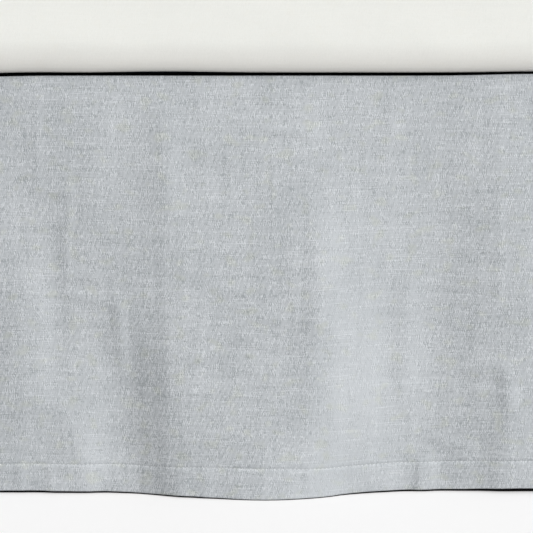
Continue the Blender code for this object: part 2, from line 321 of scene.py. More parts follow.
def woven_cloth_group():
    """A plain weave. Place is metres on the cloth, Thread the distance between threads, Grain how wide the
    threads that stand out are, and Streak how long they keep their tone. Tone is around 0.5, Slub marks
    thick pale threads, Fleck marks bits of husk, and Wash is how unevenly the cloth is dyed."""
    tree, given = effect_group("woven_cloth", Thread=0.0006, Grain=0.0009, Streak=0.003, Slub_Length=0.04)
    grain, streak = given["Grain"], given["Streak"]
    across, down = axis_of(given["Place"], "X"), axis_of(given["Place"], "Y")

    def stretched_noise(size_across, size_down, detail, roughness, shift):
        x = add(calculate("DIVIDE", across, size_across), shift)
        y = calculate("DIVIDE", down, size_down)
        vector = follow("ShaderNodeCombineXYZ", {0: x, 1: y})
        inputs = {"Vector": vector, "Scale": 1.0, "Detail": detail, "Roughness": roughness}
        return follow("ShaderNodeTexNoise", inputs, noise_dimensions="2D")

    def wave(pitch_across, pitch_down, steady, shift):
        """Threads that come and go at an even pitch each way, in step for about the length steady."""
        turns = times(stretched_noise(steady, steady, 1.0, 0.5, shift), 2.0)
        for place, pitch in ((across, pitch_across), (down, pitch_down)):
            turns = add(turns, calculate("DIVIDE", place, pitch))
        return calculate("SINE", times(turns, 2 * pi))

    # Threads: how far they reach across and down, their share of the tone, and their kind's own shift.
    coarser, broad = times(grain, 1.3), times(streak, 2.0)
    longer, longest = times(streak, 6.0), times(streak, 20.0)
    tone = 0.0
    for size_across, size_down, share, shift in (
        (grain, streak, 0.95, 3.1),
        (streak, grain, 0.54, 41.7),
        (grain, grain, 0.5, 97.3),
        (coarser, longer, 0.44, 131.9),
        (longer, coarser, 0.38, 173.3),
        (broad, broad, 0.12, 211.7),
        (broad, longest, 0.22, 251.3),
        (longest, broad, 0.27, 293.1),
    ):
        threads = add(stretched_noise(size_across, size_down, 1.0, 0.55, shift), -0.5)
        tone = add(tone, times(threads, share))

    # Short dashes that lean both ways, bolder in some patches than in others, and faint slanted ribs.
    dash_share, dash_steady, rib_share, rib_steady = 0.078, 0.009, 0.06, 0.03
    patch_across, patch_down, faintest, boldest = 0.007, 0.006, 0.2, 1.75
    pitch, rise = times(grain, 2.15), times(streak, 1.15)
    for pitch_down, shift in ((rise, 371.3), (times(rise, -1.0), 409.1)):
        tone = add(tone, times(wave(pitch, pitch_down, dash_steady, shift), dash_share))
    patches = stretched_noise(patch_across, patch_down, 2.0, 0.7, 331.7)
    tone = times(tone, spread(patches, 0.37, 0.63, faintest, boldest))
    ribs = wave(times(pitch, 2.42), times(rise, 2.7), rib_steady, 443.9)
    tone = add(tone, times(ribs, rib_share))

    slubs = stretched_noise(given["Slub Length"], times(grain, 1.2), 1.0, 0.4, 7.9)
    husks = stretched_noise(times(streak, 4.0), times(streak, 3.0), 1.0, 0.5, 61.3)
    turns = calculate("DIVIDE", pi, given["Thread"])
    over, under = (calculate("SINE", times(place, turns)) for place in (across, down))
    crossing = calculate("ABSOLUTE", times(over, under))
    return give_out(
        tree,
        Tone=add(tone, 0.5, clamp=True),
        Slub=spread(slubs, 0.64, 0.78),
        Fleck=spread(husks, 0.6, 0.76),
        Wash=stretched_noise(0.045, 0.09, 3.0, 0.55, 13.3),
        Height=add(times(crossing, 0.5), times(tone, 1.2)),
    )


woven_cloth = woven_cloth_group()


def cloth_material(
    name, dark, light, fleck, weave, wash=0.1, tone_reach=0.35, slub=0.5, bump=(0.4, 0.0003), painted_raking_contrast=(1, 1),
    **sockets,
):
    """Woven cloth: its threads run from a dark to a light tone, with paler slubs and a few flecks.

    weave is the thread distance, grain, streak and slub length, fleck the husks' colour and its share, and
    painted_raking_contrast how strongly the threads stand out, as painted shade of the weave under the raking
    key, on flanks turned to the head end, and to the foot end."""
    material, tree, shader = finish_material(name, **sockets)
    place = wire(tree, "ShaderNodeUVMap", uv_map="cloth_place").outputs[0]
    sizes = dict(zip(("Thread", "Grain", "Streak", "Slub_Length"), weave))
    woven = use_group(woven_cloth, Place=place, **sizes)
    # Painted shade of the weave's relief: the threads' contrast grows on flanks turned away from the raking
    # key on the right, shrinks on those turned to it, and part of it comes back on faces turned square to the
    # foot end.
    to_foot = geometry(tree, "Normal", "X")
    end_face = spread(to_foot, 0.5, 0.9, 0, 0.8 * (1 - painted_raking_contrast[1]))
    painted_raking_tone = add(spread(to_foot, -0.36, 0.26, *painted_raking_contrast), end_face)
    threads = times(add(woven["Tone"], -0.5), painted_raking_tone)
    tone = spread(threads, -tone_reach, tone_reach)
    washed = times(add(woven["Wash"], -0.5), wash * 10)
    lifted = add(tone, times(woven["Slub"], slub))
    colour = blend(add(lifted, washed, clamp=True), dark, light)
    husks = times(woven["Fleck"], fleck[3])
    fill(shader, {"Base Color": blend(husks, colour, (*fleck[:3], 1), "MULTIPLY")})
    raise_surface(shader, woven["Height"], *bump)
    return material


def soft_block_piece(name, points, bottom, materials):
    """A padded block from rings of points that lie around the middle of its underside."""
    points = points + (BED_MIDDLE_X, 0, bottom)
    return mesh_piece(name, points.reshape(-1, 3), ring_faces(*points.shape[:2]), materials)


ticking = cloth_material(
    "box_spring_ticking", (0.62, 0.605, 0.57, 1), (0.77, 0.76, 0.725, 1), (0.96, 0.93, 0.88, 0.4),
    (0.0008, 0.0012, 0.004, 0.02), wash=0.04, tone_reach=0.6, bump=(0.5, 0.0004),
    Roughness=0.85, Sheen_Weight=0.08,
)
dust_cloth = cloth_material(
    "dust_cloth", (0.045, 0.045, 0.047, 1), (0.1, 0.1, 0.105, 1), (0.9, 0.88, 0.84, 0.4),
    (0.0009, 0.0015, 0.003, 0.01), Roughness=0.95,
)
BORDER_STEPS, CORNER_STEPS, BORDER_SAG = (150, 110), 6, 0.0016
border_shares = [[i / steps for i in range(steps)] for steps in BORDER_STEPS]
points, normals, run, _, down = soft_block(
    BOX_SIZE, BOX_CORNER, BOX_EDGE, inner_rings=12, side_steps=14, edge_steps=4, shares=border_shares,
    corner_steps=CORNER_STEPS,
)
level = points[..., 2]
slack = np.sin(np.clip((level - BOX_EDGE) / (BOX_SIZE[2] - 2 * BOX_EDGE), 0, 1) * pi)
pull = ripples(run, level, (0.0012, 0.11, 0.16, 4.0), (0.0004, 0.03, 0.08, 9.0)) - BORDER_SAG
on_border = abs(normals[..., 2]) < 0.05
points = points + normals * (pull * slack * on_border)[..., None]
box_cover = soft_block_piece("box_spring_cover", points, BOX_BOTTOM, [ticking, dust_cloth])
for polygon in box_cover.data.polygons:
    polygon.material_index = int(polygon.normal.z < -0.99)
lay_cloth_map(box_cover, run, down)
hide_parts("box_spring")

tape_cloth = cloth_material(
    "edge_tape", (0.62, 0.6, 0.56, 1), (0.8, 0.78, 0.74, 1), (0.94, 0.92, 0.86, 0.5),
    (0.0011, 0.0015, 0.003, 0.01), bump=(0.7, 0.0005), Roughness=0.8,
)


def edge_tape(name, edge_level, direction):
    """A strip folded over the rounded edge, with a fifth of its width on the panel."""
    on_border, on_panel, sunk, bend_steps = 0.6 * TAPE_WIDTH, 0.2 * TAPE_WIDTH, -0.0004, 4
    section = []
    for out in (TAPE_THICKNESS, sunk):
        half = [(out, -BOX_EDGE - on_border * share) for share in (1, 0.5, 0)]
        for step in range(1, bend_steps + 1):
            angle = pi / 2 * step / bend_steps
            reach = BOX_EDGE + out
            half.append((reach * cos(angle) - BOX_EDGE, reach * sin(angle) - BOX_EDGE))
        half.append((-BOX_EDGE - on_panel, out))
        section += half if out > 0 else half[::-1]
    tape_rings = []
    for sideways, rise in section:
        ring, _, _ = outline_ring(BOX_SIZE, BOX_CORNER, -sideways, border_shares, CORNER_STEPS)
        level = edge_level + direction * rise
        tape_rings.append(np.column_stack((ring + (BED_MIDDLE_X, 0), np.full(len(ring), level))))
    count, around = len(tape_rings), len(tape_rings[0])
    faces = [face[::direction] for face in ring_faces(count, around, tube=True)]
    tape = mesh_piece(name, np.concatenate(tape_rings), faces, [tape_cloth])
    between_rings, between_points = 0.003, 0.0113
    across = np.repeat(np.arange(count) * between_rings, around)
    lay_cloth_map(tape, across, np.tile(np.arange(around) * between_points, count))


edge_tape("box_tape_above", BOX_BOTTOM + BOX_SIZE[2] - TAPE_THICKNESS, 1)
edge_tape("box_tape_below", BOX_BOTTOM + TAPE_THICKNESS, -1)

# ------------
# Skirt deck. One flat panel of undyed cotton sheeting that lies on the box spring under the mattress. The
# three drops are sewn to its edges, so the mattress's weight holds the whole skirt in place.
deck_cotton = cloth_material(
    "deck_cotton", (0.66, 0.645, 0.6, 1), (0.8, 0.79, 0.75, 1), (0.93, 0.88, 0.76, 0.7),
    (0.0005, 0.0008, 0.004, 0.02), bump=(0.3, 0.0003), Roughness=0.9,
)
dress("skirt_deck", deck_cotton)
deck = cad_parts["skirt_deck"]
lay_cloth_map(deck, *zip(*(vertex.co[:2] for vertex in deck.data.vertices)))

# ------------
# Drops. Three straight panels of washed blue-grey linen, 15 inches deep, lapped over the box spring's edge
# and let fall to the floor. They part at the foot corners, with narrow side hems and a one-inch bottom hem
# turned up inside and stitched through. The cloth keeps soft folds and light creases from being packed.
MM = 0.001
DECK_TOP, FLOOR_GAP = 0.385, 0.0025
BEND, BEND_FALL, LAP, CLOTH, HEM_CLOTH = 0.005, 0.0018, 0.025, 0.0012, 0.002
HEM_FLARE, HEM_STITCH, SIDE_STITCH = 0.0015, 0.0242, 0.011
GROOVE, GROOVE_WIDTH, HEM_GROOVE_WIDTH, DOUBLED = 0.0005, 0.0015, 0.0011, 0.00035
PUCKER_BELOW, PUCKER_WIDTH = 0.008, 0.013
SEAM_RIDGES, HANG_BOW = ((0.0014, 0.003), (0.0009, 0.011)), 0.0025
SIDE_FACE, FOOT_FACE = 0.7556, 1.0096
FALL_TOP = DECK_TOP - BEND_FALL
# The mesh's rows over lap, bend and the painted shade skin on the bend, how far the close ones reach down
# from the seam and up from the hem in millimetres, and the hem's own above its stitching, on it and below it.
LAP_ROWS, BEND_ROWS, PAINTED_SHADE_ROWS, SEAM_ZONE, HEM_ZONE = 3, 12, 12, 8, 31
ABOVE_STITCHING = (31, 29, 27.4, 26.2, 25.4, 24.8)
BELOW_STITCHING = (23.6, 23, 22.2, 21, 19, 16.5, 14, 11.5, 9, 6.5, 4.5, 3.2, 2.3, 1.6, 1, 0.5, 0)
HEM_LEVELS = (*ABOVE_STITCHING, 24.2, *BELOW_STITCHING)
# Fold lines: place along the drop at the box spring's edge, how far along it has moved at the hem, then how
# far out it stands one fifth down, halfway down and at the hem, all in millimetres from the drop's middle.
NEAR_FOLDS = (
    (-1003, 0, 1, 5, 11), (-925, -5, 0, 1, 2), (-840, -10, 8, 13, 18), (-800, 10, 8, 14, 19),
    (-700, -5, 1, 1, 0), (-610, 20, 5, 9, 13), (-500, -5, 1, 2, 1), (-410, -10, 7, 11, 9),
    (-350, -10, 6, 9, 8), (-272, -3, 0, 2, 5.2), (-229, 0, 0, 2.9, 5.5), (-192, 0, 1.6, 1.8, 5.8),
    (-174, 0, 2.3, 3.4, 5.2), (-151, 0, 2.9, 4.8, 4.8), (-134, 0, 3, 5.8, 6), (-119, 1, 3.4, 7, 7),
    (-104, 1, 4.2, 8.4, 10), (-88, 2, 4.8, 10.1, 15.2), (-69, 1, 4.7, 10.4, 18.2),
    (-46, 0, 4.7, 10.3, 20.3), (-19, 0, 4.8, 10.8, 22.8), (3, 0, 4.9, 11.5, 23.6), (21, 0, 5, 12, 22.2),
    (39, 0, 4.6, 12.4, 19), (55, 0, 3.8, 11.2, 14.6), (70, 0, 2.9, 9.2, 9.6), (88, 0, 2.1, 6.3, 6.2),
    (108, 0, 1.6, 3.2, 3.6), (126, 0, 0.8, 1.2, 1.2), (151, 0, 0, 0.2, 0), (172, 0, 0.7, 1.5, 0.8),
    (197, 0, 1.7, 3.8, 3.6), (226, 0, 2.3, 5, 5.8), (255, 0, 2.2, 4.5, 5.4), (300, 0, 0, 1, 1),
    (400, 15, 9, 15, 20), (460, 10, 9, 16, 21), (570, -10, 1, 0, 2), (660, 10, 5, 8, 10),
    (745, -5, 1, 2, 1), (840, 10, 7, 12, 16), (930, -5, 1, 2, 3), (1007, 0, 1, 4, 10),
)
FAR_FOLDS = (
    (-1007, 0, 1, 5, 12), (-905, 5, 0, 1, 2), (-800, -15, 8, 14, 19), (-740, -5, 8, 15, 20),
    (-610, 10, 1, 1, 0), (-480, 10, 6, 10, 9), (-345, -5, 1, 3, 2), (-225, -15, 11, 18, 23),
    (-160, 10, 12, 19, 25), (-30, -5, 1, 2, 1), (95, 15, 5, 7, 11), (230, -5, 0, 1, 0),
    (345, 15, 9, 14, 19), (490, -5, 1, 1, 2), (600, -10, 6, 10, 8), (715, 5, 1, 2, 0), (830, 15, 7, 12, 17),
    (925, 0, 0, 2, 3), (1003, 0, 1, 4, 9),
)
FOOT_FOLDS = (
    (-753, 0, 1, 5, 12), (-665, -5, 0, 1, 2), (-560, 10, 7, 12, 17), (-440, -5, 1, 2, 0),
    (-330, 10, 5, 8, 10), (-215, -5, 1, 2, 2), (-90, -15, 10, 17, 22), (-30, 10, 11, 18, 24),
    (105, -5, 1, 1, 0), (235, 10, 6, 9, 8), (350, -5, 0, 1, 1), (470, 15, 9, 14, 20), (600, -5, 1, 2, 1),
    (680, 0, 3, 5, 6), (753, 0, 1, 4, 9),
)
# Light creases of the near drop: from (place, height) to (place, height), width and rise, in millimetres.
NEAR_CREASES = (
    (-128, 112, -128, 52, 23, -3.9), (-186, 84, -184, 58, 28, 1.6), (-207, 165, -203, 90, 27, 3.4),
    (-132, 172, -130, 118, 6, 1.2), (-176, 250, -174, 190, 6, 0.5), (6.5, 300, 5.5, 238, 3.4, 0.35),
    (24, 234, 24, 180, 6, 0.4), (124.5, 188, 124.5, 104, 10.5, 1.3), (204, 326, 206, 209, 7, 0.5),
    (214, 114, 216, 92, 7, 1.15), (222, 97, 216, 45, 9, 0.9), (118, 108, 203, 105, 3.6, -0.85),
    (-196, 281, -172, 279, 4.5, 0.85), (165, 45, 178, 38, 4, 0.4), (195, 46, 195, 6, 12, -1.1),
    (139, 27, 139, 3, 4.5, 1.3), (146, 27, 146, 3, 7.5, 1.1), (-187, 26, -187, 4, 8, 0.55),
    (-168, 46, -168, 4, 14, 1.2), (-75, 22, -75, 3, 5, 0.4), (-54, 22, -54, 3, 5, 0.45),
    (50, 225, 50, 170, 15, 1.6), (-90, 345, -90, 275, 13, 1.1), (238, 345, 238, 240, 14, -1),
    (-222, 374, -190, 374, 11, 1.8), (-167, 300, -173, 205, 3.2, -0.38), (-199, 370, -205, 280, 4, 0.25),
    (108, 369, 108, 337, 4.5, 0.55), (-188, 203, -157, 203, 4.5, 0.75), (-170, 185, -132, 175, 4, 0.55),
    (5, 335, 38, 332, 3.6, 0.9), (3, 165, 43, 163, 4, 0.6), (-41, 192, -24, 190, 6, 0.5),
    (-68, 142, 12, 134, 3.8, -0.45), (136, 58, 182, 44, 4, 0.4), (-195.5, 26, -195.5, 3, 4, 0.7),
    (-223.5, 26, -223.5, 3, 4, 0.6), (-158, 26, -158, 3, 6, 0.35), (-81, 26, -81, 3, 4, 0.5),
)


def fold_lines_at(folds, share):
    """Each fold line's place along the drop and how far out it stands, at shares of the fall."""
    edge, shift, upper, middle, lower = (np.array(column) * MM for column in zip(*folds))
    t, seam, stations = share[:, None], edge * 0, (0, 0.2, 0.5, 1)
    depth = 0
    for at, stands_out in zip(stations, (seam, upper, middle, lower)):
        depth = depth + stands_out * prod((t - other) / (at - other) for other in stations if other != at)
    return edge + shift * t, np.maximum(depth, 0)


def fold_depth(folds, places, share):
    """How far the folds push the cloth out, at each share of the fall (rows) and place (columns).

    A cubic runs from fold line to fold line without overshooting, level at each crest and each hollow."""
    rows = []
    for line, depth in zip(*fold_lines_at(folds, share)):
        apart = np.diff(line)
        rise = np.diff(depth) / apart
        before, after = rise[:-1], rise[1:]
        same_way = before * after > 0
        slope = np.zeros(len(line))
        slope[1:-1] = same_way * 2 * before * after / np.where(same_way, before + after, 1)
        index = np.clip(np.searchsorted(line, places) - 1, 0, len(line) - 2)
        t = np.clip((places - line[index]) / apart[index], 0, 1)
        swing = (1 - t) * slope[index] - t * slope[index + 1]
        rows.append(depth[index] + apart[index] * (rise[index] * t * t * (3 - 2 * t) + t * (1 - t) * swing))
    return np.array(rows)


def bell(distance, width):
    """1 in the middle, and near 0 from twice this width outwards."""
    return np.exp(-((distance / width) ** 2))


def crease_depth(creases, across, height):
    """Soft ridges or grooves along straight strokes that fade out at both ends."""
    total = np.zeros(across.shape)
    for x0, z0, x1, z1, width, rise in creases:
        start, end = np.array((x0, z0)) * MM, np.array((x1, z1)) * MM
        stroke = end - start
        length = np.hypot(*stroke)
        ahead = stroke / length
        along = (across - start[0]) * ahead[0] + (height - start[1]) * ahead[1]
        beside = (across - start[0]) * -ahead[1] + (height - start[1]) * ahead[0]
        beyond = np.maximum(0, np.maximum(-along, along - length))
        reach = max(0.25 * length, 1.5 * width * MM)
        total += rise * MM * bell(beside, width * MM) * bell(beyond, reach)
    return total


def packing_creases(seed, half_length, count, keep_clear=(0, 0)):
    """Creases at random places, mostly upright, outside the stretch that has its own."""
    highest, lowest = 372, 8
    dice = random.Random(seed)
    creases = []
    while len(creases) < count:
        place, height = dice.uniform(-half_length, half_length), dice.uniform(40, 350)
        upright = dice.random() < 0.8
        length = dice.uniform(50, 160) if upright else dice.uniform(20, 60)
        lean = dice.uniform(-12, 12)
        width, rise = dice.uniform(5, 13), dice.choice((-1, 1, 1)) * dice.uniform(0.4, 1.3)
        if keep_clear[0] < place < keep_clear[1]:
            continue
        if upright:
            top, foot = min(height + length / 2, highest), max(height - length / 2, lowest)
            creases.append((place, top, place + lean, foot, width, rise))
        else:
            creases.append((place, height, place + length, height + lean / 3, width / 2, rise / 3))
    return creases


def column_places(*stretches):
    """Places of the mesh's columns, over stretches that each have a start, end and step."""
    places = [stretches[0][0]]
    for start, end, step in stretches:
        count = round((end - start) / step)
        places += [start + (end - start) * i / count for i in range(1, count + 1)]
    return np.array(places)


def soft_bumps(places, *bumps):
    """Gentle rises along an edge, each a place, width and rise in millimetres."""
    return sum(rise * MM * bell(places / MM - at, width) for at, width, rise in bumps)


def drop_surface(face, mitred, folds, creases, edges, seed, places, fall_step):
    """The drop's outer face as a grid of points, its thickness, and each row's length down from the lap.

    edges says how far, along it, the hem is lifted, the hem is wider and the bend is raised."""
    half = (abs(places[0]), abs(places[-1]))
    hem_lift, hem_wider, bend_rise = edges(places)
    lap = [(-BEND - LAP + LAP * i / LAP_ROWS, DECK_TOP, 0) for i in range(LAP_ROWS)]
    turned = np.linspace(0, pi / 2, BEND_ROWS)
    bend = [(BEND * (sin(a) - 1), FALL_TOP + BEND_FALL * cos(a), sin(a)) for a in turned]

    # Rows lie close together under the bend and at the hem.
    fall = FALL_TOP - FLOOR_GAP
    plain = fall - SEAM_ZONE * MM - HEM_ZONE * MM
    count = round(plain / fall_step)
    above = [fall] * (LAP_ROWS + BEND_ROWS) + [fall - i * MM for i in range(1, SEAM_ZONE)]
    above += [fall - SEAM_ZONE * MM - plain * i / count for i in range(count)]
    above = np.array(above + [row * MM for row in HEM_LEVELS])
    across = np.broadcast_to(places, (len(above), len(places)))
    widens_from, widens_over, rise_fades, wobble_fades = 0.1, 0.06, 0.06, 0.05
    stretch = 1 + hem_wider / HEM_STITCH * np.clip((widens_from - above[:, None]) / widens_over, 0, 1)
    above_hem = above[:, None] * stretch
    t = 1 - above_hem / fall
    hem_level = FLOOR_GAP + HEM_CLOTH / 2 + hem_lift
    height = FALL_TOP - (FALL_TOP - hem_level) * t + bend_rise * np.exp(-t / rise_fades)

    # Folds, creases and slack start from the straight seam.
    waviness, starting = 0.25 + 0.75 * t, np.minimum(1, 8 * t)
    bowed_in = HANG_BOW * np.sin(pi * np.clip(t, 0, 1))
    depth = fold_depth(folds, places, 1 - above / fall) + HEM_FLARE * t - bowed_in
    depth += sum(rise * np.exp(-t * fall / fade) for rise, fade in SEAM_RIDGES)
    depth += crease_depth(creases, across, height) * starting
    slack = (0.00045, 0.06, 0.16, seed), (0.00022, 0.022, 0.05, seed + 5)
    depth += waviness * ripples(across, height, *slack)
    depth += starting * ripples(across, height, (0.00012, 0.009, 0.016, seed + 9))
    puckers = ripples(across, height * 0, (0.00028, 0.011, 1, seed + 13))
    depth += bell(above_hem - HEM_STITCH + PUCKER_BELOW, PUCKER_WIDTH) * puckers

    # The stitches draw a groove into the cloth, which is double below the hem's.
    side_in = np.minimum(across + half[0], half[1] - across)
    at_stitch = above_hem / stretch - HEM_STITCH
    hem_groove = bell(at_stitch, HEM_GROOVE_WIDTH) * (side_in > SIDE_STITCH)
    side_groove = bell(side_in - SIDE_STITCH, GROOVE_WIDTH) * (t > 0.02)
    depth += DOUBLED * (at_stitch < 0) - GROOVE * np.maximum(hem_groove, side_groove)
    out = np.zeros(len(above))
    for row, (inward, level, share) in enumerate(lap + bend):
        out[row] = inward
        height[row] = level + bend_rise * share
        depth[row] = sum(rise for rise, _ in SEAM_RIDGES) * share
    wobble = ripples(places, places * 0, (0.0004, 0.09, 1, seed + 21), (0.0002, 0.02, 1, seed + 23))
    depth += wobble * np.clip((out + BEND) / BEND, 0, 1)[:, None] * np.exp(-t / wobble_fades)
    cut = np.where(places > 0, mitred[1], mitred[0]) * -out[:, None]
    reach = np.where(places > 0, half[1], half[0])
    grid = np.stack((across * (reach - cut) / reach, -(face + out[:, None] + depth), height), axis=2)
    down = np.linalg.norm(np.diff(grid[:, len(places) // 2], axis=0), axis=1)
    in_hem = np.clip((GROOVE_WIDTH - at_stitch) / GROOVE_WIDTH, 0, 1)
    in_side = np.clip((SIDE_STITCH + GROOVE_WIDTH - side_in) / GROOVE_WIDTH, 0, 1) * (t > 0)
    thickness = CLOTH + (HEM_CLOTH - CLOTH) * np.maximum(in_hem, in_side)
    return grid, thickness, np.concatenate(([0], np.cumsum(down)))


def closed_strip(name, layers, places_across, places_down, closings, material):
    """A cloth whose layers of points run down its face, round its edge and up its back, with closed ends."""
    count, columns = len(layers), len(layers[0])
    faces = []
    for layer in range(count):
        low, high = layer * columns, (layer + 1) % count * columns
        faces += [(low + i, high + i, high + i + 1, low + i + 1) for i in range(columns - 1)]
    for closing in closings:
        faces.append(tuple(layer * columns for layer in reversed(closing)))
        faces.append(tuple(layer * columns + columns - 1 for layer in closing))
    strip = mesh_piece(name, np.concatenate(layers), faces, [material])
    lay_cloth_map(strip, np.tile(places_across, count), np.repeat(places_down, columns))
    return strip


def unit(vectors):
    return vectors / np.linalg.norm(vectors, axis=-1, keepdims=True)


def drop_piece(name, face, mitred, folds, creases, edges, seed, turn, places, fall_step, materials):
    """A hanging drop as one closed cloth. Its stitching and a near-black skin of painted shade on its bend
    are two more pieces.
    """
    grid, thickness, down = drop_surface(face, mitred, folds, creases, edges, seed, places, fall_step)
    rows = len(grid)
    normals = unit(np.cross(np.gradient(grid, axis=0), np.gradient(grid, axis=1)))
    bend_start, fall_start, hem_start = LAP_ROWS, LAP_ROWS + BEND_ROWS - 1, rows - len(HEM_LEVELS)

    # The face turns round at the hem and comes back up the inside with fewer rows.
    turn_steps, turn_step_length, inside = 5, 0.0006, 0.5
    inner_rows = {*range(0, hem_start, 3), *range(hem_start, rows, 2), rows - 1}
    inner_rows = sorted(inner_rows | {bend_start, fall_start, (bend_start + fall_start) // 2})
    layers, places_down = list(grid), list(down)
    radius = thickness[-1][:, None] / 2
    middle, outward = grid[-1] - normals[-1] * radius, normals[-1]
    downward = unit(np.cross(outward, np.gradient(grid[-1], axis=0)))
    downward *= -np.sign(downward[:, 2:])
    for step in range(1, turn_steps):
        angle = pi * step / turn_steps
        layers.append(middle + radius * (outward * cos(angle) + downward * sin(angle)))
        places_down.append(down[-1] + turn_step_length * step)
    for row in reversed(inner_rows):
        layers.append(grid[row] - normals[row] * thickness[row][:, None])
        places_down.append(down[row] + inside)
    inner_layer = {row: len(layers) - 1 - position for position, row in enumerate(inner_rows)}
    closings = [[rows - 1 + step for step in range(turn_steps + 1)]]
    for upper, lower in zip(inner_rows, inner_rows[1:]):
        closings.append([*range(upper, lower + 1), inner_layer[lower], inner_layer[upper]])
    drop = closed_strip(name, layers, places, places_down, closings, materials[0])
    stitching = stitch_piece(name + "_stitching", grid, normals, places, materials[1])

    # A thin near-black skin on the bend is painted shade: it stands for the deep shadow in the slit under the
    # mattress's edge.
    proud, sunk, apart = 0.00018, 0.0003, 0.0007
    bound = range(bend_start, bend_start + PAINTED_SHADE_ROWS)
    layers = [grid[row] + normals[row] * proud for row in bound]
    layers += [grid[row] - normals[row] * sunk for row in reversed(bound)]
    last = len(layers) - 1
    closings = [[row, row + 1, last - row - 1, last - row] for row in range(PAINTED_SHADE_ROWS - 1)]
    down_slit_shade = np.arange(len(layers)) * apart
    slit_shade = closed_strip(name + "_binding", layers, places, down_slit_shade, closings, materials[2])
    stand = Matrix.Translation((BED_MIDDLE_X, 0, 0)) @ Matrix.Rotation(turn, 4, "Z")
    for piece in (drop, stitching, slit_shade):
        piece.data.transform(stand)

    # The painted shade under the bed ends inside the hem, further in where it hangs higher.
    least, per_height, allowance = 0.0003, 1.6, 0.0006
    hem_height = grid[-1, ::4, 2:] - HEM_CLOTH / 2
    inwards = np.maximum(least, per_height * hem_height - allowance)
    hem_line = grid[-1, ::4] - normals[-1, ::4] * inwards
    return drop, [stitching, slit_shade], [tuple((stand @ Vector(point))[:2]) for point in hem_line]


STITCH_APART, STITCH_LONG, THREAD = 0.0036, 0.0024, 0.00028


def stitch_piece(name, grid, normals, places, material):
    """Lockstitch in a thick thread: a row along the hem and one up each side, each stitch a small bead."""
    end_gap, side_start, side_end = 0.002, 0.012, FALL_TOP - FLOOR_GAP - 0.002
    hem_row = len(grid) - len(BELOW_STITCHING) - 1
    start = LAP_ROWS + BEND_ROWS
    left, right = places[0] + SIDE_STITCH, places[-1] - SIDE_STITCH
    runs = [(places, grid[hem_row], normals[hem_row], np.arange(left + end_gap, right, STITCH_APART))]
    for side in (left, right):
        column = int(np.argmin(np.abs(places - side)))
        line, outward = grid[start:, column], normals[start:, column]
        runs.append((FALL_TOP - line[:, 2], line, outward, np.arange(side_start, side_end, STITCH_APART)))
    points, faces, sides = [], [], 5
    bead = [face[::-1] for face in ring_faces(3, sides)]
    for run in runs:
        for centre, ahead, up in zip(*path_samples(*run)):
            base = len(points)
            aside = np.cross(ahead, up)
            for along, lift, size in ((-0.5, -0.5, 0.55), (0.0, 0.55, 1.0), (0.5, -0.5, 0.55)):
                middle = centre + ahead * STITCH_LONG * along + up * THREAD * lift
                for side in range(sides):
                    angle = 2 * pi * side / sides
                    points.append(middle + THREAD * size * (up * cos(angle) + aside * sin(angle)))
            faces += [tuple(base + corner for corner in face) for face in bead]
    return mesh_piece(name, points, faces, [material])


def path_samples(known, line, normals, wanted):
    """Points, directions and outward normals at wanted places along a line of the cloth."""
    centres, outward = (
        np.column_stack([np.interp(wanted, known, of_line[:, axis]) for axis in range(3)])
        for of_line in (line, normals)
    )
    outward = unit(outward)
    ahead = np.gradient(centres, axis=0)
    return centres, unit(ahead - outward * np.sum(ahead * outward, axis=1, keepdims=True)), outward


# The linen's thread contrast is painted raking shade: strong on flanks turned to the head end, faint on those
# turned to the foot end.
linen = cloth_material(
    "skirt_linen", (0.373, 0.4, 0.42, 1), (0.649, 0.673, 0.697, 1), (1.0, 1.0, 0.93, 0.8),
    (0.0006, 0.0009, 0.004, 0.045), wash=0.04, slub=0.3, tone_reach=0.43, bump=(0.45, 0.0003),
    painted_raking_contrast=(2.2, 0.35), Roughness=0.9, Sheen_Weight=0.06, Sheen_Roughness=0.6, Specular_IOR_Level=0.25,
)
thread, tree, shader = finish_material("stitch_thread", Roughness=0.6, Sheen_Weight=0.1)
place = wire(tree, "ShaderNodeTexCoord").outputs["Object"]
twist = follow("ShaderNodeTexNoise", {"Vector": place, "Scale": 900.0, "Detail": 1.0})
fill(shader, {"Base Color": blend(twist, (0.6, 0.63, 0.64, 1), (0.8, 0.82, 0.82, 1))})
raise_surface(shader, twist, 0.4, 0.0002)
# Near-black cloth for the skin on the drops' bend: painted shade for the slit under the mattress.
painted_slit_shade = cloth_material(
    "seam_binding", (0.0003, 0.0003, 0.0004, 1), (0.0012, 0.0012, 0.0014, 1), (0.9, 0.9, 0.9, 0.2),
    (0.0006, 0.0009, 0.004, 0.01), Roughness=1.0, Specular_IOR_Level=0.0,
)


def near_edges(places):
    """The near drop's hem hangs lowest where the wide fold stands out, and its seam rides up on the right."""
    lift = ((-215, 40, 0.8), (-112, 22, -0.9), (-2, 52, -2.0), (60, 30, -1.3), (232, 45, 2.75))
    wider = ((-5, 70, 2.9), (190, 90, 1.1))
    rise = ((-240, 25, -0.8), (228, 45, 1.5))
    return [soft_bumps(places, *bumps) for bumps in (lift, wider, rise)]


def plain_edges(places):
    flat = places * 0
    return 0.0006 * ripple(places, flat, 0.25, 1, 3.0), 0.0008 * ripple(places, flat, 0.2, 1, 5.0), flat


